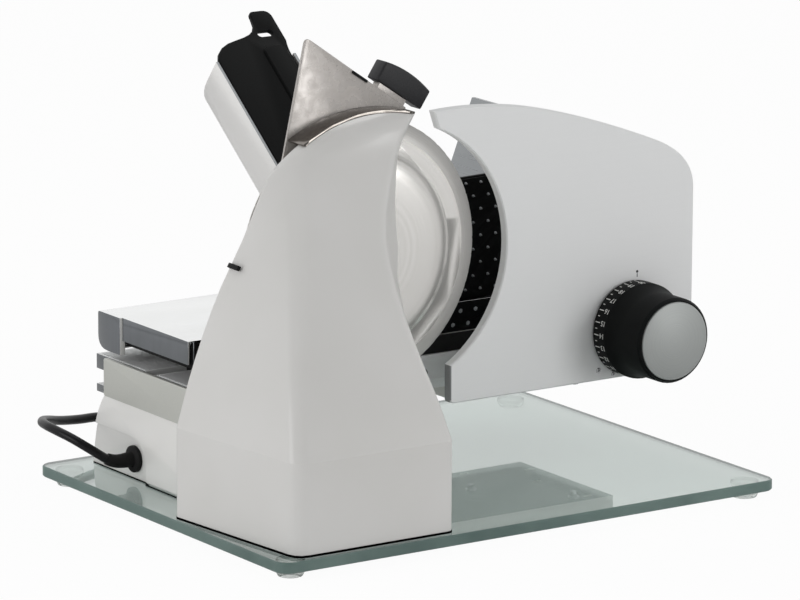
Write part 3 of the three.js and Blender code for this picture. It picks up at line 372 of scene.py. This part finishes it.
# steel and bronze: the blade pale with soft rings, shafts glossier, plated sheet greyer, bushes brown and dull
bladeSteel = turnedSteel(
    "blade_steel_ground", ("#dedcd8", "#e5e3e0"), (0.22, 0.27), bladeMiddle, 2.4, 0.004, 0.75
)
bladeRim = turnedSteel(
    "blade_steel_bevel_ground", ("#e2e0dc", "#e8e6e3"), (0.34, 0.42), bladeMiddle, 1.2, 0.01, 0.55
)
brightSteel = turnedSteel("steel_ground_bright", ("#a9abad", "#bcbdbe"), (0.2, 0.3), knobMiddle)
greySheet = linishedSheet("steel_sheet_zinc_plated", ("#55585a", "#636667"), "X", (0.38, 0.5), 0.05, 20)
motorSteel = linishedSheet("steel_sheet_plated_motor", ("#8e9193", "#a0a3a5"), "Y", (0.3, 0.42), 0.03, 30)
bronze = linishedSheet("bronze_sintered", ("#a08a55", "#b09a64"), "Y", (0.4, 0.5), 0.05, 8)

# glass, its ground edge (satin, and deep sea-green because light travels far inside the sheet to reach it),
# and the feet (milky, half see-through, with a soft shine)
glass = floatGlass()
glassEdge = cloudyClear(
    "float_glass_ground_edge", ("#5b746f", "#7a928c"), 60, 3,
    {"Transmission Weight": 0.25, "IOR": 1.52, "Roughness": 0.32},
)
vinyl = cloudyClear(
    "vinyl_clear_moulded", ("#eef1ef", "#e4e9e6"), 4, 2,
    {"Transmission Weight": 0.8, "IOR": 1.2, "Roughness": 0.12},
)
print("materials done")


# cord: out of the gland in a low loop, over the table behind the slicer, into its coil and to the plug
cordSet = {
    "diameter": 6,
    "floor": -12.3,
    "sleeve": (4.1, 213.5, 13.6),  # where the gland's sleeve bends
    "straight": 3.5,
    "lead": {"y": 291, "back": (28, 16, 8, 0), "start": 20},
    "coil": {"x": 250, "y": 331, "radius": 40, "pitch": 7, "layer": 6.8, "turns": 2, "steps": 24},
    "plugAxis": 6,
    "plugLead": ((30, 0.35), (62, 1), (70, 1)),  # distance from the coil, share of the way to the plug's height
}


def cordWay():
    low = cordSet["floor"] + cordSet["diameter"] / 2
    coil = cordSet["coil"]
    lead = cordSet["lead"]
    way = [
        (-3.9, 213.7, 16.1), (-14, 217.1, 23.1), (-21.5, 226.3, 29), (-25.3, 238.9, 32), (-24.8, 252.5, 32.6),
        (-18, 269.3, 30.7), (-5.8, 282.4, 27.1), (9.6, 291.8, 22.8), (26.6, 298.3, 19.9), (44.6, 302.6, 18.2),
        (62.7, 304.6, 14.7), (80.6, 304.7, 10.1), (98.5, 303.5, 5.2), (116.4, 301.6, 0.7), (134.4, 299.1, -3.3),
        (152.6, 296.6, -6.5), (170.9, 294.2, -8.5),
    ]
    way += [(coil["x"] - lead["start"] - back, lead["y"], low) for back in lead["back"]]
    spun = coil["turns"] * coil["steps"]
    climb = coil["steps"] // 2
    for i in range(2 * spun + climb + 1):
        depth = min(i, 2 * spun + climb - i, spun + climb / 2)
        radius = coil["radius"] - coil["pitch"] * depth / coil["steps"]
        share = min(max((i - spun) / climb, 0), 1)
        rise = share * share * (3 - 2 * share)
        angle = -math.pi / 2 + 2 * math.pi * i / coil["steps"]
        way.append((
            coil["x"] + radius * math.cos(angle), coil["y"] + radius * math.sin(angle), low + coil["layer"] * rise
        ))
    x, y, z = way[-1]
    way += [(x - back, y, z + (cordSet["plugAxis"] - z) * share) for back, share in cordSet["plugLead"]]
    return [at(*p) for p in way]


cordPoints = cordWay()
bpy.ops.object.select_all(action="DESELECT")
bpy.ops.curve.primitive_bezier_curve_add()
cord = bpy.context.object
cord.name = "mains_cord"
cord.location = (0, 0, 0)
line = cord.data.splines[0]
line.bezier_points.add(len(cordPoints) - len(line.bezier_points))
for bend, place in zip(line.bezier_points, cordPoints):
    bend.co = place
    bend.handle_left_type = bend.handle_right_type = "AUTO"
sleeveWay = (cordPoints[1] - at(*cordSet["sleeve"])).normalized() * cordSet["straight"] * mm
firstBend = line.bezier_points[0]
firstBend.handle_left_type = firstBend.handle_right_type = "FREE"
firstBend.handle_left = cordPoints[0] - sleeveWay
firstBend.handle_right = cordPoints[0] + sleeveWay
line.resolution_u = 6
cord.data.dimensions = "3D"
cord.data.bevel_depth = cordSet["diameter"] / 2 * mm
cord.data.bevel_resolution = 5
cord.data.use_fill_caps = True
cord.data.materials.append(cordVinyl)
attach(cord, "base")
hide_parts("cord_free", "cord_coil")

# pieces whose shape the drawing has already: a copy with merged points, eased edges and smooth shading
copySet = {"merge": 0.004, "flat": 0.4, "corner": 38}


def smoothCopy(node, look, angle, easeMm):
    activate(nodes[node])
    bpy.ops.object.duplicate()
    piece = bpy.context.object
    body = piece["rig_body"]
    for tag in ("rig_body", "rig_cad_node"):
        del piece[tag]
    editMode(True)
    bpy.ops.mesh.select_all(action="SELECT")
    bpy.ops.mesh.remove_doubles(threshold=copySet["merge"] * mm)
    bpy.ops.mesh.dissolve_limited(angle_limit=math.radians(copySet["flat"]))
    editMode(False)
    if easeMm:
        modify(
            piece, "BEVEL", width=easeMm * mm, segments=2, limit_method="ANGLE",
            angle_limit=math.radians(copySet["corner"]),
        )
    settle(piece, node + "_finish", body, look, angle)
    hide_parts(node)
    return piece


# node: finish, largest angle that stays smooth, rounding of its edges in mm
finishes = {
    "glass_base": (glass, 20, 0),
    # the housing's brighter paint is partly painted light, for light it lacks under these lamps
    "base_housing": (brightPowderAndPaintedLight, 32, 0.5),
    "motor_tower": (powder, 40, 0),
    "tower_back_plate": (powder, 32, 0.3),
    "rail": (extruded, 32, 0.2),
    "rail_wiper": (blackRubber, 32, 0.2),
    "rail_plate_left": (extruded, 32, 0.4),
    "rail_plate_right": (extruded, 32, 0.4),
    "guide_tray": (greySheet, 32, 0.3),
    "guide_bush_1": (bronze, 40, 0.2),
    "guide_bush_2": (bronze, 40, 0.2),
    "spindle_nut": (blackAbs, 32, 0.4),
    "stop_pin": (blackRubber, 32, 0.3),
    "side_bumper": (blackRubber, 32, 0.2),
    "motor_can": (motorSteel, 32, 0.4),
    "motor_end_cap": (greyAbs, 32, 0.4),
    "drive_belt": (blackRubber, 32, 0.15),
    "blade_guard": (polishedDark, 32, 0.3),
    "blade_cover": (polished, 32, 0.25),
    "cover_grip": (gripAbs, 40, 0.6),
    "switch_bezel": (blackAbs, 32, 0.3),
    "power_button": (greyAbs, 32, 0.4),
    "drive_pulley": (brightSteel, 32, 0.2),
    "blade_pulley": (brightSteel, 32, 0.2),
    "blade_shaft": (brightSteel, 32, 0.2),
    "blade": (bladeSteel, 24, 0),
    "blade_hub": (brightSteel, 32, 0.3),
    "stop_plate": (anodisedAndPaintedLight, 24, 0),
    "guide_rod_1": (brightSteel, 32, 0.4),
    "guide_rod_2": (brightSteel, 32, 0.4),
    "thickness_knob": (softTouch, 32, 0.4),
    "knob_cap": (capMetal, 32, 0.15),
    "spindle": (brightSteel, 32, 0.3),
    "carriage_deck": (sheetX, 32, 0.3),
    "carriage_frame": (blackAbs, 32, 0.6),
    "runner": (blackAbs, 32, 0.4),
    "back_wall": (wallSheet, 32, 0.3),
    "remnant_holder": (blackAbs, 40, 0.4),
    "spike_plate": (blackAbs, 32, 0.15),
    "chute_stand": (blackAbs, 32, 0.8),
    "feed_chute": (sheetY, 32, 0.3),
    "pusher": (blackAbs, 40, 0.4),
    "cord_gland": (blackRubber, 32, 0.4),
    "mains_plug": (blackAbs, 32, 0.3),
}
for foot in ("near_left", "far_left", "near_right", "far_right"):
    finishes["foot_" + foot] = (vinyl, 32, 0.4)
finished = {node: smoothCopy(node, *how) for node, how in finishes.items()}
print("finished copies done")


# a second finish on some faces, picked by their middle and normal; a normal's share of 1 is square to an axis
def touchUp(node, look, test):
    piece = finished[node]
    piece.data.materials.append(look)
    index = len(piece.data.materials) - 1
    for face in piece.data.polygons:
        if test(face.center, face.normal):
            face.material_index = index


# the glass's ground edge
touchUp("glass_base", glassEdge, lambda middle, normal: abs(normal.z) < 0.9)

# deck: its folded end and corner take a dark colour, a painted reflection of the room, and the fold's edge a
# white strip, a painted highlight
deckSet = {"corner": at(20, 0, 0).x, "fold": at(0, 212, 0).y, "edge": 0.5 * mm}
touchUp(
    "carriage_deck",
    darkEndsAndReflection,
    lambda middle, normal: normal.x < -0.6 or (normal.y < -0.6 and middle.x < deckSet["corner"]),
)
# the fold's edge faces take the white ink, a painted highlight
touchUp(
    "carriage_deck",
    whiteInkAndHighlight,
    lambda middle, normal: normal.y < -0.8 and abs(middle.y - deckSet["fold"]) < deckSet["edge"],
)

# the chute's rim, and the blade's ground bevel
bevelFrom = 76.5 * mm
touchUp("feed_chute", wallSheet, lambda middle, normal: normal.z > 0.6)
touchUp("blade", bladeRim, lambda middle, normal: math.dist(middle.xz, bladeMiddle.xz) > bevelFrom)

# frame: matt top of the apron, its end, and plated tips on the spikes; the holder's spikes have them too
apronSet = {"low": at(0, 0, 105).z, "back": at(0, 134.7, 0).y, "face": at(0, 131.35, 0).y}
holderFace = at(0, 134.95, 0).y
touchUp("carriage_frame", mattAbs, lambda middle, normal: normal.z > 0.5 and middle.z > apronSet["low"])
touchUp("carriage_frame", darkEndsAndReflection, lambda middle, normal: normal.x < -0.8 and middle.y < apronSet["back"])
touchUp("carriage_frame", motorSteel, lambda middle, normal: middle.y < apronSet["face"])
touchUp("spike_plate", motorSteel, lambda middle, normal: middle.y < holderFace)

# rail: darker end faces, and a paler top and near side, painted light on faces that lie in shade; the strip's top
# takes the rail's colour
touchUp("rail", darkEndsAndReflection, lambda middle, normal: abs(normal.x) > 0.9)
touchUp("rail", anodisedAndPaintedLight, lambda middle, normal: normal.z > 0.8)
touchUp("rail", anodisedAndPaintedLight, lambda middle, normal: normal.y < -0.8)
# the strip's pale top is partly a painted highlight along its edge
touchUp("rail_wiper", extruded, lambda middle, normal: normal.z > 0.6)

# white sides on the tray, and painted shade on the stop plate's cut edge below the blade
plateTip = at(0, 0, 76).z
touchUp("guide_tray", brightPowderAndPaintedLight, lambda middle, normal: abs(normal.z) < 0.5)
touchUp("stop_plate", plateEdgeShade, lambda middle, normal: normal.x < -0.7 and middle.z < plateTip)

# plated pins on the plug
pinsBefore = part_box("mains_plug")[0].x + 18.9 * mm
touchUp("mains_plug", brightSteel, lambda middle, normal: middle.x < pinsBefore)

# the tower keeps a crisp fold where its foot ends
tower = finished["motor_tower"]
foldSet = {"height": at(0, 0, 58).z, "near": 0.05 * mm}
for edge in tower.data.edges:
    ends = [tower.data.vertices[i].co for i in edge.vertices]
    if all(abs(end.z - foldSet["height"]) < foldSet["near"] for end in ends):
        edge.use_edge_sharp = True

print("second finishes done")

# dial: a long mark and a number for each millimetre, a short mark between, white on the knob's rim
dialSet = {
    "radius": 31.02, "turn": 15, "high": 20, "numberSize": 4.8, "numberY": 89.1, "long": (92.6, 97.0),
    "short": (94.4, 96.2), "width": 0.6, "thick": 0.12,
}
inkSet = {"edge": 0.08, "crown": 0.03}  # a printed mark stands a little higher in its middle


# a frame on the rim: across runs to the plate, up runs round the rim, out leaves it
def rimFrame(degrees, y):
    a = math.radians(degrees)
    out = Vector((-math.sin(a), 0, math.cos(a)))
    up = Vector((-math.cos(a), 0, -math.sin(a)))
    across = Vector((0, 1, 0))
    place = knobMiddle + Vector((0, y * mm, 0)) + out * dialSet["radius"] * mm
    return Matrix.Translation(place) @ Matrix((across, up, out)).transposed().to_4x4()


# raises the middle of the face that looks out
def crownInk(mark, out):
    pickFaces(mark, lambda middle, normal: normal.dot(out) > 0.9)
    bpy.ops.mesh.inset(thickness=inkSet["edge"] * mm)
    bpy.ops.transform.translate(value=out * inkSet["crown"] * mm)
    editMode(False)


def dialMark(degrees, reach):
    mark = addBlock((0, 0, 0), (reach[1] - reach[0], dialSet["width"], 2 * dialSet["thick"]))
    crownInk(mark, Vector((0, 0, 1)))
    mark.data.transform(rimFrame(degrees, sum(reach) / 2))
    return mark


def dialNumber(value):
    bpy.ops.object.select_all(action="DESELECT")
    bpy.ops.object.text_add()
    number = bpy.context.object
    number.data.body = str(value)
    number.data.size = dialSet["numberSize"] * mm
    number.data.extrude = dialSet["thick"] * mm
    number.data.align_x = number.data.align_y = "CENTER"
    number.data.resolution_u = 3
    bpy.ops.object.convert(target="MESH")
    number = bpy.context.object
    number.data.transform(rimFrame((dialSet["high"] - value) * dialSet["turn"], dialSet["numberY"]))
    return number


marks = []
for value in range(dialSet["high"] + 1):
    marks.append(dialMark((dialSet["high"] - value) * dialSet["turn"], dialSet["long"]))
    marks.append(dialNumber(value))
    if value:
        marks.append(dialMark((dialSet["high"] - value + 0.5) * dialSet["turn"], dialSet["short"]))
settle(joinAll(marks), "dial_marks", "knob", whiteInkAndHighlight)
print("dial done")

# rail: fine ribs along the top of the extrusion, on both sides of the runner's slot, paler as painted light in
# the deck's shade
ribSet = {
    "x": (11, 333), "top": 75.7, "pitch": 2.6, "width": 1.2, "height": 0.5, "sink": 0.05, "round": 0.35,
    "runs": ((135.5, 16), (192.5, 21)),  # first rib's place along Y, and how many
}
ribs = []
for start, count in ribSet["runs"]:
    rib = addBlock(
        at(sum(ribSet["x"]) / 2, start, ribSet["top"] + ribSet["height"] / 2 - ribSet["sink"]),
        (ribSet["x"][1] - ribSet["x"][0], ribSet["width"], ribSet["height"] + 2 * ribSet["sink"]),
    )
    pickFaces(rib, lambda middle, normal: normal.z > 0.9)
    bpy.ops.mesh.bevel(offset=ribSet["round"] * mm, segments=2)
    editMode(False)
    modify(
        rib, "ARRAY", count=count, use_relative_offset=False, use_constant_offset=True,
        constant_offset_displace=(0, ribSet["pitch"] * mm, 0),
    )
    ribs.append(rib)
settle(joinAll(ribs), "rail_ribs", "base", anodisedAndPaintedLight)
print("rail ribs done")

# shares of a head's height, of its rim's width and of its radius
headSet = {"sides": 32, "round": 0.3, "rim": 0.6, "core": 0.1}


# a low round head that faces out along an axis; its middle is sunk, or raised where sink is negative
def roundHead(place, radius, height, hollow, turn, sink):
    angles = [math.radians(a) for a in turn]
    bpy.ops.object.select_all(action="DESELECT")
    bpy.ops.mesh.primitive_cylinder_add(
        vertices=headSet["sides"], radius=radius * mm, depth=height * mm, location=place, rotation=angles
    )
    head = bpy.context.object
    bpy.ops.object.transform_apply(location=True, rotation=True, scale=True)
    out = Vector((0, 0, 1))
    out.rotate(Euler(angles))
    pickFaces(head, lambda middle, normal: normal.dot(out) > 0.9)
    bpy.ops.mesh.bevel(offset=headSet["round"] * height * mm, segments=3)
    editMode(False)
    pickFaces(head, lambda middle, normal: normal.dot(out) > 0.99)
    bpy.ops.mesh.inset(thickness=(radius - hollow) * headSet["rim"] * mm)
    bpy.ops.mesh.extrude_region_move(TRANSFORM_OT_translate={"value": -out * sink * mm})
    bpy.ops.mesh.inset(thickness=headSet["core"] * radius * mm)
    editMode(False)
    return head


# two countersunk screws low on the stop plate: place along X and Z, and radius
plateFace = 100
screwSet = {"at": ((293.8, 57.2, 1.8), (305.5, 53.4, 1.5)), "high": 0.6, "hollow": 0.4, "sink": 0.3}
towardsKnob = (90, 0, 0)
plateScrews = [
    roundHead(
        at(x, plateFace, z), radius, screwSet["high"], radius * screwSet["hollow"], towardsKnob, screwSet["sink"]
    )
    for x, z, radius in screwSet["at"]
]
settle(joinAll(plateScrews), "plate_screws", "stop_plate", brightSteel)

# the pointer that the dial is read against: a dot over a short line
pointerSet = {
    "x": 323.3, "dot": 118.4, "radius": 0.9, "hollow": 0.81, "sink": 0.04, "line": (114.8, 117.2), "width": 0.5,
    "thick": 0.24,
}
dot = roundHead(
    at(pointerSet["x"], plateFace, pointerSet["dot"]), pointerSet["radius"], pointerSet["thick"],
    pointerSet["hollow"], towardsKnob, pointerSet["sink"],
)
pointer = addBlock(
    at(pointerSet["x"], plateFace, sum(pointerSet["line"]) / 2),
    (pointerSet["width"], pointerSet["thick"], pointerSet["line"][1] - pointerSet["line"][0]),
)
crownInk(pointer, Vector((0, -1, 0)))
settle(joinAll([dot, pointer]), "dial_pointer", "stop_plate", greyInk)

# screws under the tray, which show in the glass: a stud stands out of each head
traySet = {"at": ((266, 202), (311, 150)), "z": 39.8, "radius": 4.2, "high": 1.6, "hollow": 2, "stud": 3}
facingDown = (180, 0, 0)
trayScrews = [
    roundHead(
        at(x, y, traySet["z"]), traySet["radius"], traySet["high"], traySet["hollow"], facingDown,
        -traySet["stud"],
    )
    for x, y in traySet["at"]
]
settle(joinAll(trayScrews), "tray_screws", "base", brightSteel)
print("screws and pointer done")

# cover: a thin dark clip on its sloping edge, beside the grip
clipSet = {"place": (129.4, 129.7, 260.2), "size": (13.4, 3.0, 1.7), "lean": 34, "round": 0.4}
clip = addBlock(at(*clipSet["place"]), clipSet["size"], (0, math.radians(clipSet["lean"]), 0))
pickFaces(clip, lambda middle, normal: normal.z > 0.5)
bpy.ops.mesh.bevel(offset=clipSet["round"] * mm, segments=2)
editMode(False)
settle(clip, "cover_clip", "base", blackAbs)

# thin black strips where the painted casings meet the glass, a painted contact shadow: a band of each casing's
# outline, taken as high up as its rounded foot needs, brought down and thickened outwards
contactShadowSet = {
    "out": 0.35,
    "bands": {
        "tower_contact_shadow": {"casing": "motor_tower", "lift": 0, "high": 1.7},
        "housing_contact_shadow": {"casing": "base_housing", "lift": 2.8, "high": 0.9},
    },
}
for name, band in contactShadowSet["bands"].items():
    activate(finished[band["casing"]])
    bpy.ops.object.duplicate()
    contactShadow = bpy.context.object
    for tag in [key for key in contactShadow.keys() if key.startswith("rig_")]:
        del contactShadow[tag]
    editMode(True)
    bpy.ops.mesh.select_all(action="SELECT")
    bpy.ops.mesh.bisect(plane_co=at(0, 0, band["lift"]), plane_no=(0, 0, 1), clear_inner=True)
    bpy.ops.mesh.select_all(action="SELECT")
    bpy.ops.mesh.bisect(plane_co=at(0, 0, band["lift"] + band["high"]), plane_no=(0, 0, 1), clear_outer=True)
    bpy.ops.mesh.select_all(action="SELECT")
    bpy.ops.transform.translate(value=(0, 0, -band["lift"] * mm))
    editMode(False)
    pickFaces(contactShadow, lambda middle, normal: abs(normal.z) > 0.5)
    bpy.ops.mesh.delete(type="FACE")
    editMode(False)
    modify(contactShadow, "SOLIDIFY", thickness=contactShadowSet["out"] * mm, offset=1)
    settle(contactShadow, name, "base", mattAbs)

# strap round the coil, drawn tight on the cord
tieSet = {"inner": 20.6, "outer": 43.8, "high": 1.4, "width": 9, "thick": 0.9, "round": 4}
coilSet = cordSet["coil"]
tie = addBlock(
    at(
        coilSet["x"],
        coilSet["y"] + (tieSet["inner"] + tieSet["outer"]) / 2,
        (cordSet["floor"] + tieSet["high"]) / 2,
    ),
    (tieSet["width"], tieSet["outer"] - tieSet["inner"], tieSet["high"] - cordSet["floor"]),
)
pickFaces(tie, lambda middle, normal: abs(normal.x) > 0.9)
bpy.ops.mesh.delete(type="FACE")
editMode(False)
modify(tie, "BEVEL", width=tieSet["round"] * mm, segments=4, limit_method="ANGLE")
modify(tie, "SOLIDIFY", thickness=tieSet["thick"] * mm, offset=-1)
settle(tie, "cord_tie", "base", blackRubber)
print("clip, contactShadows and tie done")

# floor: white to the camera with a trace of the shadow, dimmer in metal and glass
floorSet = {"size": 14, "colour": "#f4f4f4", "dullness": 0.9, "seen": 0.96, "mirrored": 0.2}
bpy.ops.object.select_all(action="DESELECT")
bpy.ops.mesh.primitive_plane_add(size=floorSet["size"], location=(0, 0, 0))
floor = bpy.context.object
floor.name = "floor"
floorLook, floorShader, _ = startMaterial(
    "studio_floor_white", {"Roughness": floorSet["dullness"], "Base Color": linear(floorSet["colour"])}
)
floor.data.materials.append(floorLook)
floorPath = addNode(floorLook, "ShaderNodeLightPath")
mirrored = addNode(
    floorLook,
    "ShaderNodeMath",
    {"operation": "ADD"},
    {0: floorPath.outputs["Is Glossy Ray"], 1: floorPath.outputs["Is Transmission Ray"]},
)
mirrored = addNode(
    floorLook,
    "ShaderNodeMath",
    {"operation": "MULTIPLY", 1: floorSet["mirrored"]},
    {0: mirrored.outputs["Value"]},
)
share = addNode(
    floorLook,
    "ShaderNodeMath",
    {"operation": "MULTIPLY_ADD", 1: floorSet["seen"], "use_clamp": True},
    {0: floorPath.outputs["Is Camera Ray"], 2: mirrored.outputs["Value"]},
)
white = addNode(floorLook, "ShaderNodeEmission", {"Color": (1, 1, 1, 1), "Strength": 1})
mix = addNode(
    floorLook,
    "ShaderNodeMixShader",
    {},
    {0: share.outputs["Value"], 1: floorShader.outputs["BSDF"], 2: white.outputs["Emission"]},
)
floorLook.node_tree.links.new(
    mix.outputs["Shader"], floorLook.node_tree.nodes["Material Output"].inputs["Surface"]
)

# a white studio that is darker on the camera's side, as polished metal and black plastic show
studioSet = {"world": 0.42, "darkSide": 0.25, "towardsBackdrop": (0.56, 0.83, 0), "fade": (-0.4, 0.3)}
world = bpy.data.worlds.new("studio")
bpy.context.scene.world = world
world.use_nodes = True
sky = world.node_tree.nodes["Background"]
sky.inputs["Color"].default_value = (1, 1, 1, 1)
skyPath = addNode(world, "ShaderNodeLightPath")
skyWay = addNode(world, "ShaderNodeTexCoord").outputs["Generated"]
facing = addNode(
    world, "ShaderNodeVectorMath", {"operation": "DOT_PRODUCT", 1: studioSet["towardsBackdrop"]}, {0: skyWay}
)
room = addNode(
    world,
    "ShaderNodeMapRange",
    {
        "interpolation_type": "SMOOTHSTEP", "From Min": studioSet["fade"][0], "From Max": studioSet["fade"][1],
        "To Min": studioSet["darkSide"],
    },
    {"Value": facing.outputs["Value"]},
)
mirrorLevel = addNode(
    world,
    "ShaderNodeMapRange",
    {"To Min": studioSet["world"]},
    {"Value": skyPath.outputs["Is Glossy Ray"], "To Max": room.outputs["Result"]},
)
seen = addNode(
    world,
    "ShaderNodeMath",
    {"operation": "ADD", "use_clamp": True},
    {0: skyPath.outputs["Is Camera Ray"], 1: skyPath.outputs["Is Transmission Ray"]},
)
level = addNode(
    world,
    "ShaderNodeMapRange",
    {"To Max": 1},
    {"Value": seen.outputs["Value"], "To Min": mirrorLevel.outputs["Result"]},
)
world.node_tree.links.new(level.outputs["Result"], sky.inputs["Strength"])

# name: place, size and power of each soft lamp, all turned to the middle of the slicer
lampAim = Vector((0, 0, 0.12))
lamps = {
    "lamp_left": ((-2.3, 0.1, 0.55), 1.5, 19),
    "lamp_top": ((0.2, 0.3, 2.4), 2.2, 5.5),
    "lamp_front": ((1.3, -2.5, 0.7), 1.2, 19),
}
for name, (place, size, power) in lamps.items():
    bpy.ops.object.light_add(type="AREA", location=place)
    lamp = bpy.context.object
    lamp.name = name
    lamp.data.size = size
    lamp.data.energy = power
    lamp.rotation_euler = (lampAim - Vector(place)).to_track_quat("-Z", "Y").to_euler()
print("studio done")
